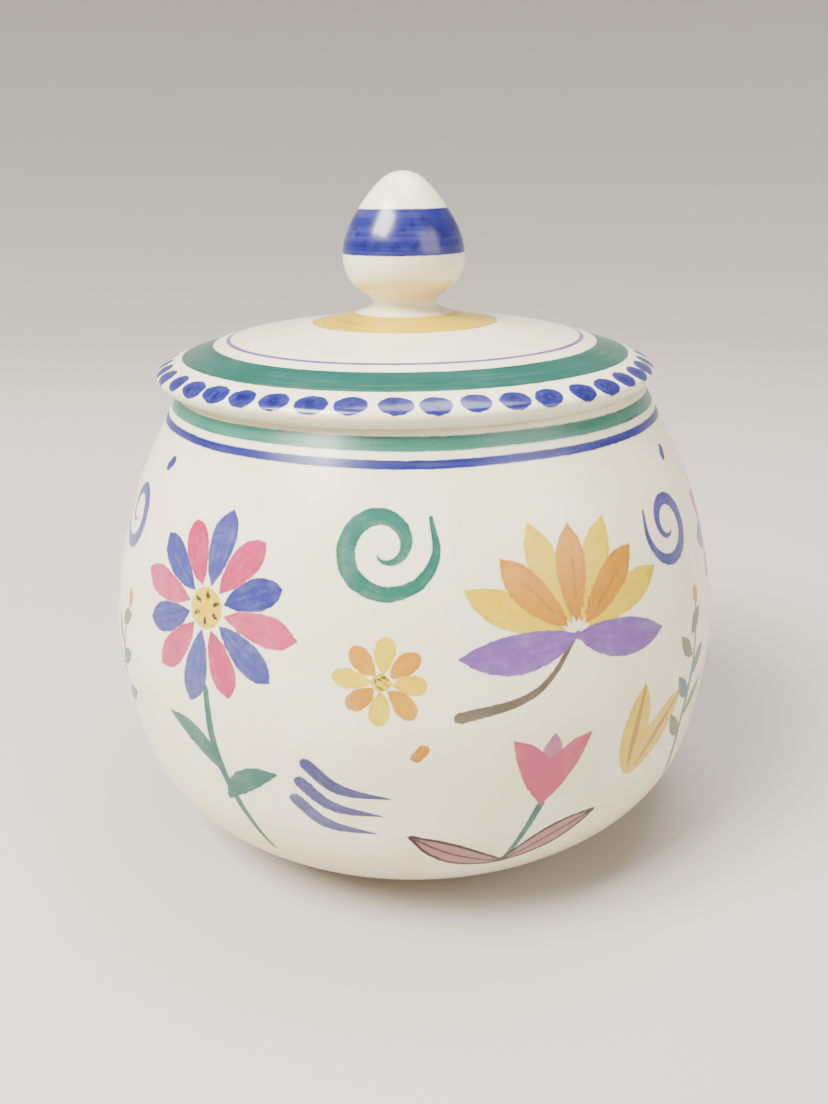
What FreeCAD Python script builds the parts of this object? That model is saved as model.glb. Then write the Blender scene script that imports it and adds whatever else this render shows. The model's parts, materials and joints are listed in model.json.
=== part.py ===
"""A lidded stoneware butter crock: a thrown, round-bellied crock, a domed lid that
lifts off, and an acorn knob that is luted to the lid's crown.

Millimetres. +Z is up, and the origin is the middle of the face that the foot stands on.
Every piece is a turned shape, so each one is an outline (radius, height) that is spun
about its own upright axis.
"""
import FreeCAD, Part
import math
import os

V = FreeCAD.Vector
UP = V(0, 0, 1)

# ---- crock ----------------------------------------------------------------------
FOOT_R = 38.5            # outside of the foot ring
FOOT_WIDTH = 4.6         # width of the ring that touches the table
FOOT_H = 1.7             # height of the foot ring
BASE_RECESS = 2.2        # underside of the base, above the table
BASE_T = 5.5             # thickness of the base
BELLY_R = 64.0           # widest radius of the belly
BELLY_Z = 44.0           # height of the widest place
CROCK_H = 94.0           # height of the mouth's top
NECK_R = 46.9            # outside of the neck at the mouth
WALL = 4.6               # wall, measured square to the surface
MOUTH_T = 5.1            # width of the mouth's flat top
BORE_H = 2.6             # height of the mouth's straight bore
FLOOR_R = 30.0           # flat part of the floor inside
FOOT_SPRING = 20.0       # degrees: how steeply the belly leaves the foot
NECK_LEAN = 28.0         # degrees: how far the neck leans in from upright

# Shape of the belly's outline between its driving sizes:
# (share of the way from foot or belly to the next radius, share of the way up)
BELLY_BELOW = ((0.576, 0.182), (0.851, 0.404), (0.957, 0.693))
BELLY_ABOVE = ((0.117, 0.286), (0.357, 0.568), (0.696, 0.812))

# ---- lid ------------------------------------------------------------------------
LID_OVERHANG = 3.1       # widest place of the rim, beyond the neck
RIM_UNDERCUT = 2.2       # lower edge of the rim, in from its widest place
RIM_WAIST_H = 2.3        # widest place of the rim, above the seat
RIM_H = 5.4              # where the rim rolls into the crown, above the seat
RIM_ROLL = 4.7           # the same place, in from the widest place
CROWN_H = 12.4           # height of the crown at the knob, above the seat
CROWN_FLARE = 15.0       # degrees: slope of the crown where it meets the knob
ROLL_SLOPE = 22.0        # degrees: slope where the rim rolls into the crown
LID_T = 4.2              # thickness of the crown under the knob
HOLLOW_H = 2.4           # where the hollow's ceiling springs from the flange, above the seat
FLANGE_PLAY = 2.2        # radial play of the locating flange in the mouth
FLANGE_T = 3.4           # thickness of the flange
FLANGE_DROP = 5.2        # how far the flange hangs below the seat
LID_OFFSET_X = -1.3      # the lid sits this far to one side, within the play

# Shape of the crown's outline from the knob out to the rim:
# (share of the way out, share of the way down)
CROWN_LINE = ((0.157, 0.139), (0.432, 0.345), (0.628, 0.480), (0.798, 0.685), (0.915, 0.870))

# ---- knob -----------------------------------------------------------------------
KNOB_H = 27.2            # from its face on the lid to the tip
KNOB_R = 12.15           # widest radius of the acorn
KNOB_WAIST_H = 11.1      # height of the widest place above the knob's face
KNOB_NECK_R = 6.35       # narrowest radius
KNOB_NECK_H = 2.5        # height of the narrowest place above the knob's face
KNOB_FOOT_R = 12.2       # radius where the knob's foot meets the crown
TIP_R = 6.5              # roundness of the tip
TIP_TURN = 42.0          # degrees: slope where the rounded tip ends

# Shape of the knob between its foot, neck, waist and tip:
# (share of the way between the two radii, share of the way up)
KNOB_FLARE = ((0.786, 0.56),)
ACORN_BELOW = ((0.20, 0.19), (0.61, 0.38), (0.83, 0.57))
ACORN_ABOVE = ((0.145, 0.37), (0.354, 0.577))

# ---- small edges ----------------------------------------------------------------
FOOT_EDGE = 1.0          # rounding of the foot ring
MOUTH_EDGE = 1.3         # rounding of the mouth
FLANGE_EDGE = 1.2        # rounding of the flange's lower edges
HOLLOW_EDGE = 4.0        # cove between the flange and the hollow's ceiling

# ---- worked out from the sizes above ----------------------------------------------
BORE_R = NECK_R - MOUTH_T
SEAT_Z = CROCK_H
LID_R = NECK_R + LID_OVERHANG
FLANGE_R = BORE_R - FLANGE_PLAY
KNOB_Z = SEAT_Z + CROWN_H


def at(radius, height):
    """A point of an outline."""
    return V(radius, 0, height)


def heading(degrees):
    """A direction in the outline's plane: 0 points outwards, 90 points up."""
    angle = math.radians(degrees)
    return V(math.cos(angle), 0, math.sin(angle))


def between(start, end, shares):
    """Points at the given shares of the radius and height from start to end."""
    return [at(start.x + u * (end.x - start.x), start.z + v * (end.z - start.z)) for u, v in shares]


def smooth(points, start_heading, end_heading):
    """A smooth curve through points, with its direction given at both ends."""
    curve = Part.BSplineCurve()
    curve.interpolate(Points=points, InitialTangent=start_heading, FinalTangent=end_heading, Scale=False)
    return curve


def line(start, end):
    """A straight edge."""
    return Part.LineSegment(start, end).toShape()


def dome(edge, crest):
    """An arc from an edge up to a crest on the axis, level at the crest."""
    rise = crest.z - edge.z
    radius = (edge.x ** 2 + rise ** 2) / (2 * rise)
    half = edge.x / 2
    middle = at(half, crest.z - radius + math.sqrt(radius ** 2 - half ** 2))
    return Part.Arc(edge, middle, crest).toShape()


def turn(edges, centre_x=0.0):
    """The solid that an outline makes when it is spun about the upright axis at centre_x."""
    solid = Part.Face(Part.Wire(edges)).revolve(V(0, 0, 0), UP, 360)
    solid.translate(V(centre_x, 0, 0))
    return Part.Solid(solid) if solid.ShapeType != "Solid" else solid


def round_rings(solid, rings, radius, centre_x=0.0):
    """Round the circular edges that lie at the given (radius, height) places."""
    chosen = []
    for edge in solid.Edges:
        if edge.Degenerated or not isinstance(edge.Curve, Part.Circle):
            continue
        curve = edge.Curve
        if abs(curve.Center.x - centre_x) > 0.01:
            continue
        if any(abs(curve.Radius - r) < 0.01 and abs(curve.Center.z - z) < 0.01 for r, z in rings):
            chosen.append(edge)
    return solid.makeFillet(radius, chosen)


def offset_inwards(curve, shares, distance):
    """Points beside a curve, on its axis side, at shares of its length parameter."""
    first, last = curve.FirstParameter, curve.LastParameter
    points = []
    for share in shares:
        place = first + share * (last - first)
        along = curve.tangent(place)[0]
        points.append(curve.value(place) + V(-along.z, 0, along.x) * distance)
    return points


def make_crock():
    """The crock: foot ring, belly, neck, and the hollow inside with its straight mouth."""
    foot = at(FOOT_R, FOOT_H)
    belly = at(BELLY_R, BELLY_Z)
    neck = at(NECK_R, CROCK_H)
    outline = [foot] + between(foot, belly, BELLY_BELOW) + [belly]
    outline += between(belly, neck, BELLY_ABOVE) + [neck]
    outside = smooth(outline, heading(FOOT_SPRING), heading(90 + NECK_LEAN))

    floor_z = BASE_RECESS + BASE_T
    floor_edge = at(FLOOR_R, floor_z)
    bore_foot = at(BORE_R, CROCK_H - BORE_H)
    beside = offset_inwards(outside, (0.34, 0.44, 0.56, 0.70, 0.84), WALL)
    inside = smooth([floor_edge] + beside + [bore_foot], heading(0), heading(90 + NECK_LEAN))

    ring_inside = FOOT_R - FOOT_WIDTH
    edges = [
        line(at(0, BASE_RECESS), at(ring_inside, BASE_RECESS)),
        line(at(ring_inside, BASE_RECESS), at(ring_inside, 0)),
        line(at(ring_inside, 0), at(FOOT_R, 0)),
        line(at(FOOT_R, 0), foot),
        outside.toShape(),
        line(neck, at(BORE_R, CROCK_H)),
        line(at(BORE_R, CROCK_H), bore_foot),
        inside.toShape(),
        line(floor_edge, at(0, floor_z)),
        line(at(0, floor_z), at(0, BASE_RECESS)),
    ]
    crock = turn(edges)
    crock = round_rings(crock, [(FOOT_R, 0), (ring_inside, 0)], FOOT_EDGE)
    return round_rings(crock, [(NECK_R, CROCK_H), (BORE_R, CROCK_H)], MOUTH_EDGE)


def make_lid():
    """The lid: rolled rim on the mouth's flat top, domed crown, and a locating flange."""
    knob_face = at(KNOB_FOOT_R, KNOB_Z)
    roll = at(LID_R - RIM_ROLL, SEAT_Z + RIM_H)
    widest = at(LID_R, SEAT_Z + RIM_WAIST_H)
    lower_edge = at(LID_R - RIM_UNDERCUT, SEAT_Z)
    crown = smooth([knob_face] + between(knob_face, roll, CROWN_LINE) + [roll],
                   heading(-CROWN_FLARE), heading(-ROLL_SLOPE))
    rim = smooth([roll, widest, lower_edge], heading(-ROLL_SLOPE), heading(-150))

    flange_inside = FLANGE_R - FLANGE_T
    flange_z = SEAT_Z - FLANGE_DROP
    ceiling = at(0, KNOB_Z - LID_T)
    spring_line = at(flange_inside, SEAT_Z + HOLLOW_H)
    hollow = dome(spring_line, ceiling)

    edges = [
        line(ceiling, at(0, KNOB_Z)),
        line(at(0, KNOB_Z), knob_face),
        crown.toShape(),
        rim.toShape(),
        line(lower_edge, at(FLANGE_R, SEAT_Z)),
        line(at(FLANGE_R, SEAT_Z), at(FLANGE_R, flange_z)),
        line(at(FLANGE_R, flange_z), at(flange_inside, flange_z)),
        line(at(flange_inside, flange_z), spring_line),
        hollow,
    ]
    lid = turn(edges, LID_OFFSET_X)
    rings = [(FLANGE_R, flange_z), (flange_inside, flange_z)]
    lid = round_rings(lid, rings, FLANGE_EDGE, LID_OFFSET_X)
    return round_rings(lid, [(flange_inside, spring_line.z)], HOLLOW_EDGE, LID_OFFSET_X)


def make_knob():
    """The acorn knob: flared foot, narrow neck, bulb and pointed top."""
    foot = at(KNOB_FOOT_R, KNOB_Z)
    neck = at(KNOB_NECK_R, KNOB_Z + KNOB_NECK_H)
    waist = at(KNOB_R, KNOB_Z + KNOB_WAIST_H)
    tip = at(0, KNOB_Z + KNOB_H)
    tip_centre = at(0, tip.z - TIP_R)
    shoulder = tip_centre + heading(90 - TIP_TURN) * TIP_R
    flare = smooth([foot] + between(foot, neck, KNOB_FLARE) + [neck], heading(180 - CROWN_FLARE), UP)
    side = [neck] + between(neck, waist, ACORN_BELOW) + [waist]
    side += between(waist, shoulder, ACORN_ABOVE) + [shoulder]
    bulb = smooth(side, UP, heading(180 - TIP_TURN))
    edges = [
        line(at(0, KNOB_Z), foot),
        flare.toShape(),
        bulb.toShape(),
        dome(shoulder, tip),
        line(tip, at(0, KNOB_Z)),
    ]
    return turn(edges, LID_OFFSET_X)


def main():
    """Build each piece and write it to its own STEP file."""
    os.makedirs("parts", exist_ok=True)
    pieces = {"crock": make_crock(), "lid": make_lid(), "knob": make_knob()}
    for name, shape in pieces.items():
        box = shape.BoundBox
        print("%-6s valid %s  volume %8.1f mm3  x %.2f..%.2f  z %.2f..%.2f" % (
            name, shape.isValid(), shape.Volume, box.XMin, box.XMax, box.ZMin, box.ZMax))
        shape.exportStep("parts/%s.step" % name)


main()
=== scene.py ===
"""A lidded butter crock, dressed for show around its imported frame.

The crock is thrown, painted, glazed and fired. Here each piece is an outline that is turned
about its axis and given a glaze with painted rings or dots. The flowers on the belly are brush
strokes, laid on its wall in degrees round the pot and millimetres up it.

Sizes are in millimetres in the classes, and the meshes are in metres.
"""
from __future__ import annotations

import json
import logging
import math
from dataclasses import dataclass, field, replace
from enum import Enum
from typing import Any, Callable, Mapping, Sequence

import bpy
import numpy as np
from mathutils import Euler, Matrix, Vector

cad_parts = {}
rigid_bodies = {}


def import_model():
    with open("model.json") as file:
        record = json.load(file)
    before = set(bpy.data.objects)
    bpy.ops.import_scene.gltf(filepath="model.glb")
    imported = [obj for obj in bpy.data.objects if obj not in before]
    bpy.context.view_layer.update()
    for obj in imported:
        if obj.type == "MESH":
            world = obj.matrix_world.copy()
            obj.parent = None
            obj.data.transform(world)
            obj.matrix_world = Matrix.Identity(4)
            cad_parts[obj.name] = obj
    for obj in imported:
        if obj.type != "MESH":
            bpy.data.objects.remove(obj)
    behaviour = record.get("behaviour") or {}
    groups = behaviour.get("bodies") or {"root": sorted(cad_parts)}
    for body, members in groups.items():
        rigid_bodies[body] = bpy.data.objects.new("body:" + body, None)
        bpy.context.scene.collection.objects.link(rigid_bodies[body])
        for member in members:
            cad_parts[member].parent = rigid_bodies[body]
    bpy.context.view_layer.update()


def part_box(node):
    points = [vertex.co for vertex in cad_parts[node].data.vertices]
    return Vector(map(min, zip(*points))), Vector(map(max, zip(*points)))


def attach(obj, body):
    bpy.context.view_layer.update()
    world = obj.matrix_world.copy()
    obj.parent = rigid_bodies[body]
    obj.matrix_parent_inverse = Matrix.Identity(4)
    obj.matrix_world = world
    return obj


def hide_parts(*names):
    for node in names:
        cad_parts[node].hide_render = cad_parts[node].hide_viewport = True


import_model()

LOG = logging.getLogger("butter_crock")
MM = 0.001  # metres in a millimetre
CREASE = 35.0  # degrees between two faces, above which their edge looks sharp
WELD = 1e-6  # metres, within which two corners become one
TRIM = 3.0  # a stroke is told apart out to this far from its edge, in millimetres
OFF_WALL = -100.0  # height given to a corner that isn't on the outside of the wall
RGB = tuple[float, float, float]
Shares = tuple[tuple[float, float], ...]  # shares of a radius and a height


# ---- shader maths ---------------------------------------------------------------------


class Wire:
    """An output socket that shader maths can be written with."""

    def __init__(self, net: Net, socket: bpy.types.NodeSocket) -> None:
        """Keep the socket and the net that new nodes go in."""
        self.net = net
        self.socket = socket

    def math(self, operation: str, *others: Wire | float) -> Wire:
        """Put this value and others through a Math node.

        Args:
            operation: The Math node's operation.
            others: The node's other values, in order.

        Returns:
            The node's result.
        """
        inputs = dict(enumerate((self, *others)))
        return self.net.node("ShaderNodeMath", {"operation": operation}, inputs)

    def __add__(self, other: Wire | float) -> Wire:
        """Sum."""
        return self.math("ADD", other)

    __radd__ = __add__

    def __sub__(self, other: Wire | float) -> Wire:
        """Difference."""
        return self.math("SUBTRACT", other)

    def __rsub__(self, other: Wire | float) -> Wire:
        """Difference the other way round."""
        return (self * -1.0).math("ADD", other)

    def __mul__(self, other: Wire | float) -> Wire:
        """Product."""
        return self.math("MULTIPLY", other)

    __rmul__ = __mul__

    def hypot(self, other: Wire) -> Wire:
        """Long side of a right-angled triangle over this side and another."""
        return (self * self + other * other).math("SQRT")

    def __abs__(self) -> Wire:
        """Size without its sign."""
        return self.math("ABSOLUTE")

    def smooth(self, low: float, high: float) -> Wire:
        """Rise smoothly from 0 at low to 1 at high, or fall if high is the lower.

        Args:
            low: Where the result is 0.
            high: Where the result is 1.

        Returns:
            A value from 0 to 1.
        """
        if low > high:
            return 1.0 - self.smooth(high, low)
        inputs = {"Value": self, "From Min": low, "From Max": high}
        return self.net.node("ShaderNodeMapRange", {"interpolation_type": "SMOOTHSTEP"}, inputs)


class Net:
    """The node tree of one material."""

    def __init__(self, name: str) -> None:
        """Start an empty material.

        Args:
            name: The material's name.
        """
        self.material = bpy.data.materials.new(name)
        self.material.use_nodes = True
        self.tree = self.material.node_tree
        self.tree.nodes.clear()

    def node(
        self,
        kind: str,
        settings: Mapping[str, Any] | None = None,
        inputs: Mapping[str | int, Any] | None = None,
        output: str | int = 0,
    ) -> Wire | None:
        """Add a node, set it up, and fill its sockets.

        Args:
            kind: The node's type.
            settings: Its own settings, which are set first.
            inputs: Values or wires for its sockets, by name or number.
            output: The output socket to hand back, by name or number.

        Returns:
            The output socket, wrapped, or None for a node that has none.
        """
        made = self.tree.nodes.new(kind)
        for name, value in (settings or {}).items():
            setattr(made, name, value)
        for name, value in (inputs or {}).items():
            if isinstance(value, Wire):
                self.tree.links.new(value.socket, made.inputs[name])
            else:
                made.inputs[name].default_value = value
        return Wire(self, made.outputs[output]) if made.outputs else None

    def vector(self, operation: str, first: Any, second: Any) -> Wire:
        """Put two vectors through a Vector Math node."""
        return self.node("ShaderNodeVectorMath", {"operation": operation}, {0: first, 1: second})

    def blend(self, share: Any, start: Any, end: Any) -> Wire:
        """Mix two colours.

        Args:
            share: How much of the second colour shows.
            start: First colour, as a wire or a triple.
            end: Second colour, as a wire or a triple.

        Returns:
            The mixed colour.
        """
        colours = [c if isinstance(c, Wire) else (*c, 1.0) for c in (start, end)]
        settings = {"data_type": "RGBA", "blend_type": "MIX", "clamp_factor": True}
        return self.node("ShaderNodeMix", settings, {0: share, 6: colours[0], 7: colours[1]}, 2)

    def millimetres(self) -> Wire:
        """Place on the piece, in millimetres."""
        place = self.node("ShaderNodeTexCoord", output="Object")
        return self.vector("MULTIPLY", place, (1000.0, 1000.0, 1000.0))

    def split(self, vector: Wire) -> tuple[Wire, Wire, Wire]:
        """Take a vector apart.

        Args:
            vector: The vector.

        Returns:
            Its three numbers.
        """
        parts = self.node("ShaderNodeSeparateXYZ", inputs={0: vector})
        outputs = parts.socket.node.outputs
        return parts, Wire(self, outputs[1]), Wire(self, outputs[2])

    def join(self, x: Any, y: Any, z: Any = 0.0) -> Wire:
        """Put three numbers together into a vector."""
        return self.node("ShaderNodeCombineXYZ", inputs={0: x, 1: y, 2: z})

    def cloud(self, place: Wire, size: float, detail: float = 2.0, rough: float = 0.5) -> Wire:
        """Soft noise about zero.

        Args:
            place: Where the noise is read, in millimetres.
            size: Size of its patches, in millimetres.
            detail: How many finer layers it has.
            rough: How strong those layers are.

        Returns:
            A value from about -0.5 to 0.5.
        """
        inputs = {"Vector": place, "Scale": 1.0 / size, "Detail": detail, "Roughness": rough}
        return self.node("ShaderNodeTexNoise", inputs=inputs) - 0.5


# ---- outlines -------------------------------------------------------------------------


def heading(degrees: float) -> np.ndarray:
    """Direction in an outline's plane: 0 points outwards and 90 points up."""
    angle = math.radians(degrees)
    return np.array((math.cos(angle), math.sin(angle)))


def shares_between(
    start: tuple[float, float], end: tuple[float, float], shares: Sequence[tuple[float, float]]
) -> list[tuple[float, float]]:
    """Points at shares of the radius and height from start to end.

    Args:
        start: First radius and height.
        end: Last radius and height.
        shares: Share of the way out and share of the way up, for each point.

    Returns:
        The points, as radius and height.
    """
    (r0, z0), (r1, z1) = start, end
    return [(r0 + u * (r1 - r0), z0 + v * (z1 - z0)) for u, v in shares]


class Curve:
    """A smooth curve through a few points, with its direction given at both ends."""

    def __init__(
        self, points: Sequence[tuple[float, float]], start_heading: float, end_heading: float
    ) -> None:
        """Work out the slope at each point so that the curve bends evenly there.

        Args:
            points: The points, as radius and height.
            start_heading: Direction at the first point, in degrees.
            end_heading: Direction at the last point, in degrees.
        """
        self.points = np.array(points, float)
        gaps = np.linalg.norm(np.diff(self.points, axis=0), axis=1)
        self.knots = np.concatenate(([0.0], np.cumsum(gaps)))
        count = len(self.points)
        system = np.eye(count)
        right = np.zeros((count, 2))
        right[0], right[-1] = heading(start_heading), heading(end_heading)
        for i in range(1, count - 1):
            before, after = gaps[i - 1], gaps[i]
            system[i, i - 1 : i + 2] = after, 2 * (before + after), before
            rise_before = (self.points[i] - self.points[i - 1]) / before
            rise_after = (self.points[i + 1] - self.points[i]) / after
            right[i] = 3 * (after * rise_before + before * rise_after)
        self.slopes = np.linalg.solve(system, right)

    def at(self, share: float) -> tuple[np.ndarray, np.ndarray]:
        """Place and direction at a share of the curve's length.

        Args:
            share: From 0 at the start to 1 at the end.

        Returns:
            The point, and the unit direction there.
        """
        place = share * self.knots[-1]
        i = min(max(int(np.searchsorted(self.knots, place)) - 1, 0), len(self.points) - 2)
        gap = self.knots[i + 1] - self.knots[i]
        t = (place - self.knots[i]) / gap
        p, q = self.points[i], self.points[i + 1]
        m, n = self.slopes[i] * gap, self.slopes[i + 1] * gap
        point = (
            (2 * t**3 - 3 * t**2 + 1) * p
            + (t**3 - 2 * t**2 + t) * m
            + (3 * t**2 - 2 * t**3) * q
            + (t**3 - t**2) * n
        )
        slope = (
            6 * (t**2 - t) * (p - q) + (3 * t**2 - 4 * t + 1) * m + (3 * t**2 - 2 * t) * n
        )
        return point, slope / np.linalg.norm(slope)

    def rows(self, step: float) -> list[np.ndarray]:
        """Points along the curve, about a step apart, without the first one."""
        count = max(2, round(self.knots[-1] / step))
        return [self.at(i / count)[0] for i in range(1, count + 1)]

    def beside(self, shares: Sequence[float], distance: float) -> list[tuple[float, float]]:
        """Points on the curve's left, square to it.

        Args:
            shares: Where along the curve.
            distance: How far to the side.

        Returns:
            The points, as radius and height.
        """
        found = []
        for share in shares:
            point, along = self.at(share)
            found.append(tuple(point + np.array((-along[1], along[0])) * distance))
        return found


class Outline:
    """The section of a turned piece, drawn from stretch to stretch."""

    def __init__(self, radius: float, height: float) -> None:
        """Start at a point.

        Args:
            radius: Distance from the axis.
            height: Height above the table.
        """
        self.points = [np.array((radius, height))]
        self.corners: list[tuple[int, float]] = []

    def line(self, radius: float, height: float, rows: int = 1) -> Outline:
        """Go straight to a point.

        Args:
            radius: Where the line ends, from the axis.
            height: Where the line ends, above the table.
            rows: How many rows the line has.

        Returns:
            This outline.
        """
        start, end = self.points[-1], np.array((radius, height))
        self.points += [start + (end - start) * (i + 1) / rows for i in range(rows)]
        return self

    def curve(self, curve: Curve, step: float) -> Outline:
        """Follow a smooth curve that starts here.

        Args:
            curve: The curve.
            step: Distance between rows.

        Returns:
            This outline.
        """
        self.points += curve.rows(step)
        return self

    def dome(self, crest: float, step: float) -> Outline:
        """Follow an arc to its level crest on the axis.

        Args:
            crest: Height of the crest above the table.
            step: Distance between rows.

        Returns:
            This outline.
        """
        edge = self.points[-1]
        rise = crest - edge[1]
        size = (edge[0] ** 2 + rise**2) / (2 * rise)
        reach = math.asin(min(1.0, edge[0] / size))
        count = max(3, round(reach * size / step))
        for i in range(count - 1, -1, -1):
            turn = reach * i / count
            place = (size * math.sin(turn), crest - size * (1 - math.cos(turn)))
            self.points.append(np.array(place))
        return self

    def corner(self, radius: float) -> Outline:
        """Round the point that was reached last, once the outline is whole."""
        self.corners.append((len(self.points) - 1, radius))
        return self

    def rows(self, around: int = 5) -> np.ndarray:
        """Every row of the outline, with its corners rounded.

        Args:
            around: Rows that a rounded corner has.

        Returns:
            Radius and height of each row.
        """
        points = list(self.points)
        for index, radius in reversed(self.corners):
            at = points[index]
            before = (points[index - 1] - at) / np.linalg.norm(points[index - 1] - at)
            after = (points[index + 1] - at) / np.linalg.norm(points[index + 1] - at)
            half = math.acos(float(np.clip(before @ after, -1, 1))) / 2
            back = radius / math.tan(half)
            middle = (before + after) / np.linalg.norm(before + after)
            centre = at + middle * radius / math.sin(half)
            low, high = index - 1, index + 1
            while low > 0 and np.linalg.norm(points[low] - at) < back * 1.05:
                low -= 1
            while high < len(points) - 1 and np.linalg.norm(points[high] - at) < back * 1.05:
                high += 1
            first, last = at + before * back - centre, at + after * back - centre
            turn = math.pi - 2 * half
            arc = []
            for i in range(around + 1):
                a, b = math.sin(turn * (1 - i / around)), math.sin(turn * i / around)
                arc.append(centre + (first * a + last * b) / math.sin(turn))
            points[low + 1 : high] = arc
        return np.array(points)


# ---- turning --------------------------------------------------------------------------


def only(piece: bpy.types.Object | None) -> None:
    """Select one object and nothing else.

    Args:
        piece: The object, or None to leave nothing selected.
    """
    for other in bpy.context.view_layer.objects:
        other.select_set(False)
    if piece is not None:
        piece.select_set(True)
        bpy.context.view_layer.objects.active = piece


def turned(name: str, rows: np.ndarray, centre_x: float, steps: int) -> bpy.types.Object:
    """Turn an outline about an upright axis into a closed piece.

    Args:
        name: The piece's name.
        rows: Radius and height of each row; both ends are on the axis.
        centre_x: Where the axis is.
        steps: How many flats the turned surface has all round.

    Returns:
        The piece, with its place in its mesh.
    """
    only(None)
    bpy.ops.mesh.primitive_plane_add(size=0.001, location=(0, 0, 0))
    piece = bpy.context.object
    piece.name = piece.data.name = name
    bpy.ops.object.mode_set(mode="EDIT")
    bpy.ops.mesh.select_all(action="SELECT")
    bpy.ops.mesh.merge(type="CENTER")
    start = (centre_x + rows[0][0], 0.0, rows[0][1])
    bpy.ops.transform.translate(value=[v * MM for v in start])
    for step in np.diff(rows, axis=0):
        move = {"value": (step[0] * MM, 0.0, step[1] * MM)}
        bpy.ops.mesh.extrude_region_move(TRANSFORM_OT_translate=move)
    bpy.ops.mesh.select_all(action="SELECT")
    bpy.ops.mesh.spin(steps=steps, angle=math.tau, center=(centre_x * MM, 0, 0), axis=(0, 0, 1))
    bpy.ops.mesh.select_all(action="SELECT")
    bpy.ops.mesh.remove_doubles(threshold=WELD)
    bpy.ops.mesh.normals_make_consistent(inside=False)
    bpy.ops.object.mode_set(mode="OBJECT")
    bpy.ops.object.shade_smooth_by_angle(angle=math.radians(CREASE))
    return piece


def corners_of(piece: bpy.types.Object) -> np.ndarray:
    """Places of all of a piece's corners.

    Args:
        piece: The piece.

    Returns:
        A row of three for each corner, in millimetres.
    """
    flat = np.zeros(len(piece.data.vertices) * 3)
    piece.data.vertices.foreach_get("co", flat)
    return flat.reshape(-1, 3) / MM


# ---- brushwork ------------------------------------------------------------------------


class Pigment(Enum):
    """Underglaze colours, as linear red, green and blue."""

    COBALT = (0.018, 0.020, 0.165)
    DEEP_COBALT = (0.005, 0.005, 0.072)
    ROSE = (0.360, 0.017, 0.075)
    LILAC = (0.275, 0.054, 0.125)
    VIOLET = (0.066, 0.019, 0.205)
    YELLOW = (0.600, 0.400, 0.0002)
    ORANGE = (0.430, 0.155, 0.0002)
    OCHRE = (0.360, 0.145, 0.0003)
    GREEN = (0.006, 0.070, 0.055)
    MOSS = (0.055, 0.078, 0.020)
    SLATE = (0.022, 0.021, 0.115)
    UMBER = (0.030, 0.019, 0.011)
    MAROON = (0.022, 0.003, 0.004)
    MAUVE = (0.200, 0.052, 0.072)


GROUND: RGB = (0.790, 0.745, 0.550)  # the glaze that shows through thin paint


def thinned(pigment: Pigment, density: float) -> RGB:
    """A pigment's colour when it is brushed on thinly.

    Args:
        pigment: The pigment.
        density: How much of it there is, where 1 is the whole.

    Returns:
        Its colour over the glaze.
    """
    return tuple(g ** (1 - density) * p**density for g, p in zip(GROUND, pigment.value))


class Coat(Enum):
    """Coats of paint, from the first that goes on to the last."""

    WASH = "wash"
    FIRST = "first"
    SECOND = "second"
    THIRD = "third"
    FOURTH = "fourth"
    LEAF = "leaf"
    LINE = "line"


@dataclass(frozen=True)
class Stroke:
    """One pull of the brush.

    Each point is degrees round the pot, millimetres up its wall and half the stroke's width.
    """

    pigment: Pigment
    coat: Coat
    points: tuple[tuple[float, float, float], ...]
    density: float = 0.9

    def path(self) -> np.ndarray:
        """The stroke as a smooth run of closely spaced points.

        Returns:
            Degrees, millimetres and half width of each point.
        """
        given = np.array(self.points, float)
        ends = np.vstack((2 * given[0] - given[1], given, 2 * given[-1] - given[-2]))
        parts = 8
        found = []
        for i in range(1, len(ends) - 2):
            a, b, c, d = ends[i - 1 : i + 3]
            count = parts + 1 if i == len(ends) - 3 else parts
            for t in np.linspace(0, 1, parts + 1)[:count]:
                bend = (2 * a - 5 * b + 4 * c - d) * t * t + (3 * b - a - 3 * c + d) * t**3
                found.append(0.5 * (2 * b + (c - a) * t + bend))
        path = np.array(found)
        path[:, 2] = np.maximum(path[:, 2], 0.05)
        return path

    def moved(self, turn: float) -> Stroke:
        """The same stroke, so many degrees further round the pot."""
        return replace(self, points=tuple((turn + a, s, w) for a, s, w in self.points))


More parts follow.
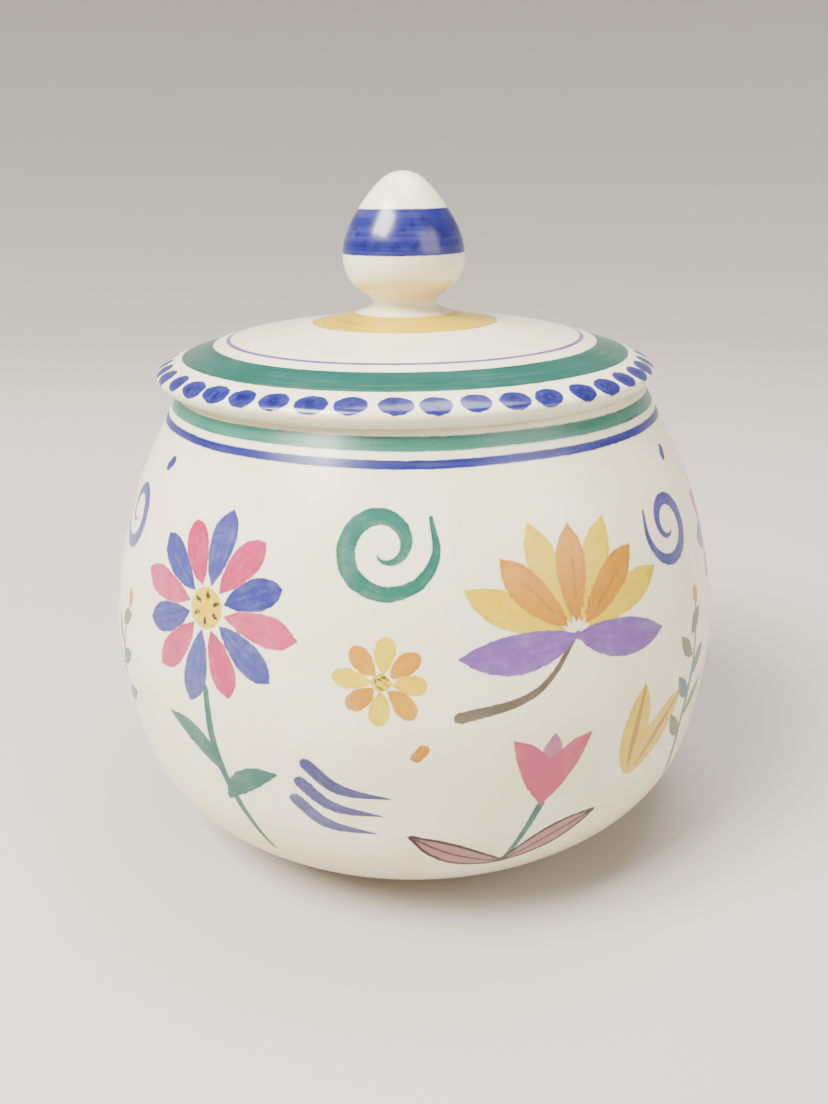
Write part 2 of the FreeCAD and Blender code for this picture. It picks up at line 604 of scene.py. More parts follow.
class Canvas:
    """What the brush has laid on a turned wall, for one coat of paint."""

    def __init__(self, angle: np.ndarray, height: np.ndarray, radius: np.ndarray) -> None:
        """Start with nothing laid.

        Args:
            angle: Degrees round the pot of each corner of the mesh.
            height: Millimetres up the wall of each corner.
            radius: Distance of each corner from the axis.
        """
        self.angle, self.height, self.radius = angle, height, radius
        count = len(angle)
        self.inside = np.full(count, -TRIM)
        self.along = np.zeros(count)
        self.across = np.full(count, TRIM)
        self.hue = np.zeros((count, 4))

    def lay(self, stroke: Stroke) -> None:
        """Lay one stroke over what is there.

        Args:
            stroke: The stroke.
        """
        path = stroke.path()
        centre = path[:, 0].mean()
        reach = np.abs(path[:, 0] - centre).max()
        gap = (self.angle - centre + 180) % 360 - 180
        margin = TRIM + path[:, 2].max()
        wide = reach + np.degrees(margin / np.maximum(self.radius, 5))
        low, high = path[:, 1].min() - margin, path[:, 1].max() + margin
        chosen = np.nonzero((np.abs(gap) < wide) & (self.height > low) & (self.height < high))[0]
        if not len(chosen):
            return
        scale = np.radians(self.radius[chosen])[:, None]
        x = ((path[:, 0] - centre)[None, :] - gap[chosen][:, None]) * scale
        y = path[:, 1][None, :] - self.height[chosen][:, None]
        dx, dy = np.diff(x, axis=1), np.diff(y, axis=1)
        size = np.maximum(dx**2 + dy**2, 1e-9)
        t = np.clip(-(x[:, :-1] * dx + y[:, :-1] * dy) / size, 0, 1)
        away = np.hypot(x[:, :-1] + t * dx, y[:, :-1] + t * dy)
        half = path[:-1, 2] + t * np.diff(path[:, 2])
        inside = half - away
        best = inside.argmax(axis=1)
        pick = np.arange(len(chosen)), best
        length = np.sqrt(size)
        run = np.cumsum(length, axis=1) - length
        side = np.sign(x[:, :-1] * dy - y[:, :-1] * dx)
        better = inside[pick] > self.inside[chosen]
        at = chosen[better]
        self.inside[at] = inside[pick][better]
        self.along[at] = (run + t * length)[pick][better]
        self.across[at] = (side * away)[pick][better]
        self.hue[at, :3] = thinned(stroke.pigment, stroke.density)
        self.hue[at, 3] = half[pick][better]

    def store(self, piece: bpy.types.Object, coat: Coat) -> None:
        """Keep the coat on the piece's mesh, for its material to read.

        Args:
            piece: The painted piece.
            coat: Which coat this is.
        """
        place = np.stack((self.along, self.across, self.inside), 1).astype(np.float32)
        run = piece.data.attributes.new(f"{coat.value}_brush", "FLOAT_VECTOR", "POINT")
        run.data.foreach_set("vector", place.ravel())
        hue = piece.data.attributes.new(f"{coat.value}_hue", "FLOAT_COLOR", "POINT")
        hue.data.foreach_set("color", self.hue.astype(np.float32).ravel())


def paint_coat(net: Net, coat: Coat, under: Wire, place: Wire, wobble: Wire, grain: Wire) -> Wire:
    """Put one coat of brushwork over a colour.

    Args:
        net: The material's nodes.
        coat: Which coat.
        under: Colour beneath.
        place: Place on the piece, in millimetres.
        wobble: Unevenness of a stroke's edge, in millimetres.
        grain: Fine grain of the pigment, about zero.

    Returns:
        The colour with the coat on it.
    """
    named = {"attribute_name": f"{coat.value}_brush"}
    along, across, inside = net.split(net.node("ShaderNodeAttribute", named, output="Vector"))
    hue = net.node("ShaderNodeAttribute", {"attribute_name": f"{coat.value}_hue"}, output="Color")
    if coat is Coat.LINE:
        gate = abs(across).smooth(1.5, 1.1) * inside.smooth(-0.9, -0.3)
        mask = abs(across + wobble * 0.5).smooth(0.36, 0.08) * gate
        return net.blend(mask * (0.94 + grain * 0.7), under, hue)
    half = Wire(net, hue.socket.node.outputs["Alpha"])
    thin = half.smooth(1.3, 0.6)
    ridge = (half - abs(across)).math("MINIMUM", inside + thin * 0.26)
    edge = inside.math("MAXIMUM", ridge) + wobble * half.smooth(0.1, 1.6)
    mask = edge.smooth(-0.1, 0.18)
    pool = edge.smooth(1.0, 0.1)
    streak = net.cloud(net.join(along * 0.09, across * 1.15, inside * 0.1), 1.0, rough=0.6)
    wash = net.cloud(place, 3.4, rough=0.6)
    body = 1.0 + streak * 0.14 + grain * 0.08 + (wash - 0.04) * 0.22
    depth = pool * 0.26 + streak * 0.9 + grain * 0.3 + wash * 1.1
    shade = net.blend(depth.smooth(0.05, 1.0) * 0.55, hue, (0.0, 0.0, 0.0))
    painted = net.blend(mask * body, under, shade)
    if coat is not Coat.LEAF:
        return painted
    outline = abs(inside + wobble * 0.5).smooth(0.46, 0.18)
    return net.blend(outline, painted, Pigment.MAROON.value)


# ---- finishes -------------------------------------------------------------------------


@dataclass(frozen=True)
class Glaze:
    """A satin cream glaze over a pale body, with fine specks and a faint crackle."""

    name: str
    tint: RGB = (0.780, 0.725, 0.510)
    # painted shade with a warm table reflection, for the low belly
    painted_shade_tint: RGB = (0.700, 0.520, 0.350)
    cool: RGB = (0.800, 0.765, 0.590)
    speck: RGB = (0.33, 0.22, 0.12)
    craze: RGB = (0.42, 0.33, 0.22)
    clay: tuple[RGB, RGB] = ((0.60, 0.46, 0.33), (0.72, 0.60, 0.47))
    index: float = 1.45
    roughness: float = 0.27
    coat: float = 0.08
    coat_roughness: float = 0.10

    def dress(
        self,
        piece: bpy.types.Object,
        paint: Callable[[Net, Wire, Wire], Wire],
        biscuit: Callable[[Net, Wire], Wire] | None = None,
        painted_low_shade: Callable[[Net, Wire], Wire] | None = None,
    ) -> None:
        """Give a piece this glaze, with paint beneath it.

        Args:
            piece: The piece.
            paint: Puts the paint over the glaze's colour, given the nodes, colour and place.
            biscuit: Share of bare clay at a place, for a piece with an unglazed foot.
            painted_low_shade: Share of painted shade and warm table reflection at a place, from 0 to 1.
        """
        net = Net(self.name)
        place = net.millimetres()
        mottle = net.cloud(place, 14.0, detail=3.0, rough=0.55)
        fine = net.cloud(place, 0.55, rough=0.6)
        colour = net.blend((mottle * 3.0 + 0.5).smooth(0.0, 1.0), self.tint, self.cool)
        # painted shade and warm table reflection, darker and warmer towards the foot
        if painted_low_shade is not None:
            colour = net.blend(painted_low_shade(net, place), colour, self.painted_shade_tint)
        freckle = net.node(
            "ShaderNodeTexVoronoi", {"feature": "F1"}, {"Vector": place, "Scale": 0.42}
        )
        speck = freckle.smooth(0.13, 0.05) * net.cloud(place, 7.0).smooth(0.06, 0.22)
        colour = net.blend(speck * 0.42, colour, self.speck)
        cell = net.node(
            "ShaderNodeTexVoronoi",
            {"feature": "DISTANCE_TO_EDGE"},
            {"Vector": net.vector("ADD", place, net.join(fine * 0.5, mottle * 3.0)), "Scale": 0.17},
        )
        crackle = cell.smooth(0.022, 0.004) * net.cloud(place, 22.0).smooth(-0.02, 0.2)
        colour = net.blend(crackle * 0.16, colour, self.craze)
        colour = paint(net, colour, place)
        rough = self.roughness + mottle * 0.10 + fine * 0.05
        height = mottle * 0.30 + fine * 0.035 + speck * -0.05
        lift = net.cloud(place, 3.4, detail=1.0) * 0.12 + height
        if biscuit is not None:
            bare = biscuit(net, place)
            clay = net.blend((fine * 1.6 + 0.5).smooth(0.0, 1.0), *self.clay)
            colour = net.blend(bare, colour, clay)
            rough = rough + bare * 0.45
            lift = lift + bare * fine * 0.25
        bump = net.node(
            "ShaderNodeBump", inputs={"Height": lift, "Strength": 0.35, "Distance": 0.4 * MM}
        )
        inputs = {
            "Base Color": colour,
            "Roughness": rough,
            "Normal": bump,
            "IOR": self.index,
            "Coat Roughness": self.coat_roughness,
        }
        if biscuit is not None:
            inputs["Coat Weight"] = self.coat - bare * self.coat
        else:
            inputs["Coat Weight"] = self.coat
        surface = net.node("ShaderNodeBsdfPrincipled", inputs=inputs)
        net.node("ShaderNodeOutputMaterial", inputs={"Surface": surface})
        piece.data.materials.clear()
        piece.data.materials.append(net.material)


@dataclass(frozen=True)
class Backdrop:
    """Plain pale paper that the pot stands on."""

    tint: RGB = (0.47, 0.445, 0.41)

    def dress(self, sheet: bpy.types.Object) -> None:
        """Give the sheet its paper.

        Args:
            sheet: The floor.
        """
        net = Net("pale_paper")
        grain = net.cloud(net.millimetres(), 60.0, detail=3.0)
        colour = net.blend((grain + 0.5) * 0.3, self.tint, tuple(0.93 * v for v in self.tint))
        inputs = {"Base Color": colour, "Roughness": 0.8}
        surface = net.node("ShaderNodeBsdfPrincipled", inputs=inputs)
        net.node("ShaderNodeOutputMaterial", inputs={"Surface": surface})
        sheet.data.materials.append(net.material)


def ring_streaks(net: Net, place: Wire, across: Wire, size: float) -> Wire:
    """Streaks that a brush leaves on a pot turning on the wheel.

    Args:
        net: The material's nodes.
        place: Place on the piece, in millimetres.
        across: Distance across the ring, in millimetres.
        size: Width of a streak, in millimetres.

    Returns:
        A value about zero.
    """
    x, y, _ = net.split(place)
    return net.cloud(net.join(x * 0.05, y * 0.05, across * (1.0 / size)), 1.0, rough=0.6)


def painted_ring(
    net: Net,
    under: Wire,
    place: Wire,
    across: Wire,
    span: tuple[float, float],
    pigment: Pigment,
    density: float,
    sway: float = 0.35,
) -> Wire:
    """Paint a ring on a pot turning on the wheel.

    Args:
        net: The material's nodes.
        under: Colour beneath.
        place: Place on the piece, in millimetres.
        across: Distance across the ring, in millimetres.
        span: Where the ring starts and ends across.
        pigment: Its colour.
        density: How strongly it covers.
        sway: How far its edges wander.

    Returns:
        The colour with the ring on it.
    """
    low, high = span
    drift = across + net.cloud(place, 26.0, detail=1.0) * sway * 2.0 + net.cloud(place, 1.6) * 0.22
    mask = drift.smooth(low - 0.14, low + 0.14) * drift.smooth(high + 0.14, high - 0.14)
    streak = ring_streaks(net, place, across, 0.9)
    patch = net.cloud(place, 9.0)
    pool = 1.0 - drift.smooth(low, low + 0.7) * drift.smooth(high, high - 0.7)
    body = 1.0 + streak * 0.14 + patch * 0.10
    tint = thinned(pigment, density)
    dark = tuple(0.55 * v for v in tint)
    hue = net.blend((streak * 1.6 + patch * 1.2 + pool * 0.35).smooth(0.0, 0.9), tint, dark)
    return net.blend(mask * body, under, hue)


# ---- the crock ------------------------------------------------------------------------


@dataclass
class Crock:
    """The round-bellied crock: foot ring, belly, neck, and the hollow inside."""

    foot_radius: float = 38.5
    foot_width: float = 4.6
    foot_height: float = 1.7
    recess: float = 2.2
    base: float = 5.5
    belly_height: float = 44.0
    neck_radius: float = 46.9
    wall: float = 4.6
    mouth: float = 5.1
    bore: float = 2.6
    floor_radius: float = 30.0
    foot_spring: float = 20.0
    neck_heading: float = 118.0
    foot_edge: float = 1.0
    mouth_edge: float = 1.3
    row_step: float = 0.82
    steps: int = 432
    blue_line: tuple[float, float] = (88.0, 89.35)
    green_line: tuple[float, float] = (90.55, 92.75)
    painted_from: tuple[float, float] = (44.0, 45.0)
    wall_samples: int = 800
    wall_reach: float = 0.35
    corner_batch: int = 4000
    inner_shares: tuple[float, ...] = (0.34, 0.44, 0.56, 0.70, 0.84)
    # where and how strongly the low belly gets its painted shade and warm table reflection
    painted_shade_span: tuple[float, float] = (30.0, 2.0)
    painted_shade_share: float = 0.75
    glaze: Glaze = field(default_factory=lambda: Glaze("crock_glaze"))
    below: Shares = ((0.576, 0.182), (0.851, 0.404), (0.957, 0.693))
    above: Shares = ((0.117, 0.286), (0.357, 0.568), (0.696, 0.812))

    def outside(self) -> Curve:
        """The outside of the wall, from the foot to the mouth.

        Returns:
            The curve.
        """
        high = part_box("crock")[1]
        foot = (self.foot_radius, self.foot_height)
        belly = (high.x / MM, self.belly_height)
        neck = (self.neck_radius, high.z / MM)
        points = [foot, *shares_between(foot, belly, self.below), belly]
        points += [*shares_between(belly, neck, self.above), neck]
        return Curve(points, self.foot_spring, self.neck_heading)

    def outline(self, outside: Curve) -> Outline:
        """The crock's whole section.

        Args:
            outside: The outside of its wall.

        Returns:
            The outline, from the middle of the base round to the middle of the floor.
        """
        top = float(outside.points[-1][1])
        bore_radius = self.neck_radius - self.mouth
        ring = self.foot_radius - self.foot_width
        floor = self.recess + self.base
        beside = outside.beside(self.inner_shares, self.wall)
        inside = [(self.floor_radius, floor), *beside, (bore_radius, top - self.bore)]
        drawn = Outline(0.0, self.recess).line(ring, self.recess, rows=5)
        drawn.line(ring, 0.0).corner(self.foot_edge)
        drawn.line(self.foot_radius, 0.0).corner(self.foot_edge)
        drawn.line(self.foot_radius, self.foot_height)
        drawn.curve(outside, self.row_step).corner(self.mouth_edge)
        drawn.line(bore_radius, top).corner(self.mouth_edge)
        drawn.line(bore_radius, top - self.bore)
        hollow = Curve(inside, 0.0, self.neck_heading).rows(step=2.4)[::-1]
        drawn.points += hollow[1:] + [np.array((self.floor_radius, floor))]
        return drawn.line(0.0, floor, rows=5)

    def build(self) -> bpy.types.Object:
        """Turn the crock and lay its brushwork.

        Returns:
            The piece.
        """
        outside = self.outside()
        piece = turned("crock_body", self.outline(outside).rows(), 0.0, self.steps)
        self.decorate(piece, outside)
        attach(piece, "crock")
        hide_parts("crock")
        return piece

    def decorate(self, piece: bpy.types.Object, outside: Curve) -> None:
        """Lay every stroke of the pattern on the wall.

        Args:
            piece: The turned crock.
            outside: The outside of its wall.
        """
        count = self.wall_samples
        wall = np.array([outside.at(i / count)[0] for i in range(count + 1)])
        gaps = np.linalg.norm(np.diff(wall, axis=0), axis=1)
        run = np.concatenate(([0.0], np.cumsum(gaps)))
        x, y, z = corners_of(piece).T
        radius = np.hypot(x, y)
        height = np.full(len(radius), OFF_WALL)
        for start in range(0, len(radius), self.corner_batch):
            part = slice(start, start + self.corner_batch)
            away = np.hypot(radius[part, None] - wall[:, 0], z[part, None] - wall[:, 1])
            nearest = away.argmin(axis=1)
            close = away[np.arange(len(nearest)), nearest] < self.wall_reach
            height[part] = np.where(close, run[nearest], OFF_WALL)
        angle = np.degrees(np.arctan2(x, -y))
        strokes = pattern()
        for coat in Coat:
            canvas = Canvas(angle, height, radius)
            for stroke in strokes:
                if stroke.coat is coat:
                    canvas.lay(stroke)
            canvas.store(piece, coat)
        LOG.info("crock pattern: %d strokes", len(strokes))

    def paint(self, net: Net, under: Wire, place: Wire) -> Wire:
        """Put the neck lines and the pattern over the glaze's colour.

        Args:
            net: The material's nodes.
            under: The glaze's colour.
            place: Place on the piece, in millimetres.

        Returns:
            The painted colour.
        """
        x, y, z = net.split(place)
        radius = x.hypot(y)
        outer = radius.smooth(*self.painted_from)
        wobble = net.cloud(place, 1.3, rough=0.6) * 0.55
        grain = net.cloud(place, 0.32, detail=1.0)
        colour = under
        for coat in Coat:
            colour = paint_coat(net, coat, colour, place, wobble, grain)
        lined = painted_ring(net, colour, place, z, self.green_line, Pigment.GREEN, 0.60)
        lined = painted_ring(net, lined, place, z, self.blue_line, Pigment.COBALT, 0.98)
        return net.blend(outer, under, lined)

    def bare_foot(self, net: Net, place: Wire) -> Wire:
        """Share of bare clay: the face of the foot ring is wiped clean of glaze.

        Args:
            net: The material's nodes.
            place: Place on the piece, in millimetres.

        Returns:
            A value from 0 to 1.
        """
        x, y, z = net.split(place)
        radius = x.hypot(y)
        inner = self.foot_radius - self.foot_width
        ring = radius.smooth(inner - 0.6, inner)
        line = z + net.cloud(place, 5.0) * 0.5
        return ring * line.smooth(1.0, 0.7)

    def painted_low_shade(self, net: Net, place: Wire) -> Wire:
        """Share of painted shade and warm table reflection low on the belly, more towards the foot.

        Args:
            net: The material's nodes.
            place: Place on the piece, in millimetres.

        Returns:
            A value from 0 to 1.
        """
        _, _, z = net.split(place)
        drift = z + net.cloud(place, 30.0) * 14.0
        return drift.smooth(*self.painted_shade_span) * self.painted_shade_share

    def dress(self, piece: bpy.types.Object) -> None:
        """Glaze the crock."""
        self.glaze.dress(piece, self.paint, self.bare_foot, self.painted_low_shade)


# ---- the painted garland --------------------------------------------------------------


Place = tuple[float, float]  # degrees round the pot and millimetres up its wall


def away_from(start: Place, turn: float, distance: float) -> Place:
    """The place at a distance from another.

    A degree counts as a millimetre here, which is roughly so on the belly.

    Args:
        start: Where to measure from.
        turn: Degrees clockwise from straight up the wall.
        distance: How far away it is.

    Returns:
        The place.
    """
    angle = math.radians(turn)
    return start[0] + distance * math.sin(angle), start[1] + distance * math.cos(angle)


def petal(
    pigment: Pigment,
    coat: Coat,
    root: Place,
    tip: Place,
    half: float,
    bend: float = 0.0,
    fullest: float = 0.5,
    density: float = 0.9,
) -> Stroke:
    """A pointed petal or leaf in one pull of the brush.

    Args:
        pigment: Its colour.
        coat: Which coat it goes in.
        root: Where it starts.
        tip: Where it ends.
        half: Half of its greatest width.
        bend: How far it bows to the left of the way it goes.
        fullest: Share of its length where it is widest.
        density: How strongly it covers.

    Returns:
        The stroke.
    """
    (a, s), (b, t) = root, tip
    length = math.hypot(b - a, t - s)
    side = (s - t) / length, (b - a) / length
    points = []
    for share in (0.0, fullest * 0.45, fullest, (1 + fullest) / 2, 1.0):
        bow = bend * 4 * share * (1 - share)
        rise = share / fullest if share < fullest else (1 - share) / (1 - fullest)
        width = half * math.sin(math.pi / 2 * rise) ** 0.8 if rise > 0 else 0.25
        across, up = side[0] * bow, side[1] * bow
        points.append((a + (b - a) * share + across, s + (t - s) * share + up, width))
    return Stroke(pigment, coat, tuple(points), density)


def dab(pigment: Pigment, coat: Coat, start: Place, end: Place, half: float) -> Stroke:
    """A short dab of even width from start to end."""
    return Stroke(pigment, coat, ((*start, half), (*end, half)), 0.92)


@dataclass(frozen=True)
class Garland:
    """A garland of common garden motifs: daisies, a fan flower, a tulip, curls and leaves."""

    daisy_hues: tuple[Pigment, Pigment] = (Pigment.COBALT, Pigment.ROSE)
    heart: Pigment = Pigment.YELLOW
    fan_hues: tuple[Pigment, Pigment] = (Pigment.YELLOW, Pigment.ORANGE)
    fan_leaf: Pigment = Pigment.VIOLET
    tulip_hues: tuple[Pigment, Pigment] = (Pigment.ROSE, Pigment.LILAC)
    curl_hues: tuple[Pigment, Pigment] = (Pigment.GREEN, Pigment.COBALT)
    fan_spread: float = 132.0
    fan_leaf_lean: float = 98.0
    cup_lean: float = 26.0

    def daisy(
        self, centre: Place, size: float, petals: int, hues: tuple[Pigment, Pigment]
    ) -> list[Stroke]:
        """A round flower whose petals take two colours in turn, with a dotted heart.

        Args:
            centre: Its middle.
            size: How far it reaches, in millimetres.
            petals: How many petals it has.
            hues: The two colours.

        Returns:
            Its strokes.
        """
        laid = []
        for index in range(petals):
            turn = 360.0 * index / petals + 8.0
            coat = (Coat.FIRST, Coat.SECOND)[index % 2]
            root = away_from(centre, turn, 0.24 * size)
            tip = away_from(centre, turn, size * (1.0 - 0.06 * (index % 3)))
            strength = 0.74 + 0.07 * (index % 3)
            half = 1.95 * size / petals
            hue = hues[index % 2]
            laid.append(petal(hue, coat, root, tip, half, bend=0.3, fullest=0.62, density=strength))
        laid.append(dab(self.heart, Coat.THIRD, away_from(centre, -90, 0.2), centre, 0.21 * size))
        for index in range(6):
            seed = away_from(centre, 60.0 * index, 0.12 * size)
            seed_tip = away_from(seed, 60.0 * index, 0.03 * size)
            laid.append(dab(Pigment.UMBER, Coat.FOURTH, seed, seed_tip, 0.024 * size))
        return laid

    def stalk(self, top: Place, foot: Place, bow: float) -> list[Stroke]:
        """A green stalk with a leaf on either side.

        Args:
            top: Where it meets its flower.
            foot: Where it ends.
            bow: How far it bows to the left.

        Returns:
            Its strokes.
        """
        middle = ((top[0] + foot[0]) / 2 - bow, (top[1] + foot[1]) / 2)
        points = ((*top, 0.7), (*middle, 0.95), (*foot, 0.4))
        laid = [Stroke(Pigment.GREEN, Coat.WASH, points, 0.86)]
        for lean, lower in ((-52.0, 0.0), (50.0, 6.0)):
            root = (middle[0], middle[1] - lower)
            tip = away_from(root, lean, 14.0)
            laid.append(petal(Pigment.GREEN, Coat.FIRST, root, tip, 2.3, bend=lean * 0.03, density=0.84))
        return laid

    def fan(self, root: Place, size: float, lean: float, petals: int) -> list[Stroke]:
        """A half-round flower over two leaves, on a brown stem.

        Args:
            root: Where its petals meet.
            size: How far it reaches, in millimetres.
            lean: Degrees clockwise from upright.
            petals: How many petals it has.

        Returns:
            Its strokes.
        """
        laid = []
        for index in range(petals):
            turn = lean + self.fan_spread * (index / (petals - 1) - 0.5)
            start = away_from(root, turn, 0.12 * size)
            tip = away_from(root, turn, size * (1.0 - 0.10 * (index % 2)))
            coat = (Coat.FIRST, Coat.SECOND)[index % 2]
            hue = self.fan_hues[index % 2]
            half = 0.145 * size
            laid.append(petal(hue, coat, start, tip, half, bend=0.3, fullest=0.58, density=0.88))
            if index % 2:
                vein = away_from(root, turn, 0.62 * size)
                low = away_from(root, turn, 0.3 * size)
                laid.append(dab(Pigment.OCHRE, Coat.FOURTH, low, vein, 0.36))
        for side in (-1.0, 1.0):
            tip = away_from(root, lean + side * self.fan_leaf_lean, 0.95 * size)
            half, bend = 0.17 * size, -side * 0.8
            laid.append(petal(self.fan_leaf, Coat.THIRD, root, tip, half, bend, density=0.66))
        bottom = away_from(root, lean + 236.0, 1.1 * size)
        middle = away_from(root, lean + 218.0, 0.55 * size)
        stem = ((*root, 0.4), (*middle, 0.7), (*bottom, 1.1))
        return laid + [Stroke(Pigment.UMBER, Coat.WASH, stem, 0.62)]

    def tulip(self, base: Place, size: float, lean: float) -> list[Stroke]:
        """A tulip cup on a straight stem between two outlined leaves.

        Args:
            base: Where cup and stem meet.
            size: Height of the cup, in millimetres.
            lean: Degrees clockwise from upright.

        Returns:
            Its strokes.
        """
        outer, inner = self.tulip_hues
        top = away_from(base, lean, size)
        laid = [petal(inner, Coat.SECOND, base, top, 0.20 * size, density=0.7)]
        for side in (-1.0, 1.0):
            tip = away_from(base, lean + side * self.cup_lean, 1.05 * size)
            laid.append(petal(outer, Coat.THIRD, base, tip, 0.20 * size, side * 1.4, density=0.74))
        foot = away_from(base, lean + 196.0, size)
        laid.append(Stroke(Pigment.GREEN, Coat.FIRST, ((*base, 0.8), (*foot, 0.5)), 0.8))
        for turn in (lean + 58.0, lean - 66.0):
            tip = away_from(foot, turn, 1.25 * size)
            leaf = petal(Pigment.MAUVE, Coat.LEAF, foot, tip, 0.16 * size, bend=0.8, density=0.66)
            rib = tuple((a, s, 0.3) for a, s, _ in leaf.points)
            laid += [leaf, Stroke(Pigment.MAROON, Coat.LINE, rib, 0.9)]
        return laid

    def curl(self, centre: Place, size: float, hue: Pigment, hand: float) -> list[Stroke]:
        """A spiral curl, thickest in its outer turn.

        Args:
            centre: Its middle.
            size: How far it reaches, in millimetres.
            hue: Its colour.
            hand: 1 to wind inwards clockwise, -1 for the other way.

        Returns:
            Its strokes.
        """
        points = []
        for step in range(15):
            share = step / 14
            reach = size * (1.0 - 0.80 * share)
            half = 0.20 * size * math.sin(math.pi * (0.06 + 0.88 * share)) * (1.2 - 0.7 * share)
            points.append((*away_from(centre, hand * (60.0 + 520.0 * share), reach), half))
        return [Stroke(hue, Coat.FIRST, tuple(points), 0.78)]

    def commas(self, start: Place) -> list[Stroke]:
        """Three quick strokes that thin out like tails.

        Args:
            start: Where the first stroke starts.

        Returns:
            Its strokes.
        """
        laid = []
        for index in range(3):
            root = (start[0] - 1.2 * index, start[1] - 4.0 * index)
            middle, tip = away_from(root, 132.0, 6.5), away_from(root, 114.0, 14.0)
            points = ((*root, 1.35), (*middle, 1.2), (*tip, 0.2))
            laid.append(Stroke(Pigment.SLATE, Coat.FOURTH, points, 0.82 - 0.08 * index))
        return laid

    def spray(self, root: Place, turn: float, length: float) -> list[Stroke]:
        """A leafy spray with a berry at its tip.

        Args:
            root: Where it grows from.
            turn: Degrees clockwise from upright.
            length: Length of its stem, in millimetres.

        Returns:
            Its strokes.
        """
        middle, tip = away_from(root, turn - 6, length / 2), away_from(root, turn, length)
        laid = [Stroke(Pigment.MOSS, Coat.WASH, ((*root, 0.8), (*middle, 0.7), (*tip, 0.3)), 0.8)]
        for index in range(6):
            side = 46.0 if index % 2 else -46.0
            start = away_from(root, turn - 5, length * (0.22 + 0.12 * index))
            end = away_from(start, turn + side, length * (0.26 - 0.02 * index))
            hue = (Pigment.MOSS, Pigment.GREEN)[index // 2 % 2]
            laid.append(petal(hue, Coat.FIRST, start, end, 1.6, bend=0.3, density=0.8))
        return laid + [dab(Pigment.ORANGE, Coat.SECOND, tip, away_from(tip, turn, 0.8), 1.4)]

    def leaves(self, root: Place, turns: tuple[float, ...], size: float) -> list[Stroke]:
        """Loose yellow leaves with an ochre vein.

        Args:
            root: Where they would meet.
            turns: Degrees clockwise from upright, for each leaf.
            size: How far a leaf reaches from there, in millimetres.

        Returns:
            Its strokes.
        """
        laid = []
        for turn in turns:
            tip = away_from(root, turn, size)
            foot, low = away_from(root, turn, 2.0), away_from(root, turn, 4.0)
            leaf = petal(Pigment.YELLOW, Coat.WASH, foot, tip, 0.18 * size, bend=0.6)
            vein = petal(Pigment.OCHRE, Coat.FOURTH, low, tip, 0.04 * size, bend=0.6, fullest=0.4)
            laid += [leaf, vein]
        return laid

    def strokes(self) -> list[Stroke]:
        """The whole garland, a third of the way round the pot.

        Returns:
            Its strokes.
        """
        laid = self.daisy((-36.0, 74.0), 17.5, 12, self.daisy_hues)
        laid += self.stalk((-35.0, 60.0), (-26.0, 27.0), 2.5)
        laid += self.daisy((-5.0, 66.0), 7.5, 8, self.fan_hues)
        laid += self.curl((-5.0, 88.0), 9.2, self.curl_hues[0], 1.0)
        laid += self.fan((26.0, 71.0), 20.5, 4.0, 7)
        laid += self.tulip((20.0, 40.0), 14.5, 6.0)
        laid += self.leaves((37.0, 38.0), (8.0, 44.0), 20.0)
        laid += self.curl((53.0, 84.0), 8.0, self.curl_hues[1], -1.0)
        laid += self.spray((54.0, 32.0), 8.0, 36.0)
        laid += self.commas((-17.0, 50.0))
        for spot, hue in (((0.0, 53.0), Pigment.ORANGE), ((-58.0, 95.0), Pigment.COBALT)):
            laid.append(dab(hue, Coat.SECOND, spot, away_from(spot, 40.0, 1.6), 1.1))
        return laid


GARLANDS = (
    Garland(),
    Garland(
        daisy_hues=(Pigment.ROSE, Pigment.VIOLET),
        heart=Pigment.ORANGE,
        fan_hues=(Pigment.LILAC, Pigment.ROSE),
        fan_leaf=Pigment.COBALT,
        tulip_hues=(Pigment.ORANGE, Pigment.YELLOW),
        curl_hues=(Pigment.COBALT, Pigment.GREEN),
    ),
    Garland(
        daisy_hues=(Pigment.ORANGE, Pigment.YELLOW),
        heart=Pigment.ROSE,
        fan_hues=(Pigment.COBALT, Pigment.LILAC),
        fan_leaf=Pigment.GREEN,
        tulip_hues=(Pigment.VIOLET, Pigment.ROSE),
    ),
)


def pattern() -> list[Stroke]:
    """Every stroke on the belly: the garlands, side by side all the way round."""
    turn = 360.0 / len(GARLANDS)
    return [s.moved(turn * index) for index, one in enumerate(GARLANDS) for s in one.strokes()]


# ---- the lid --------------------------------------------------------------------------


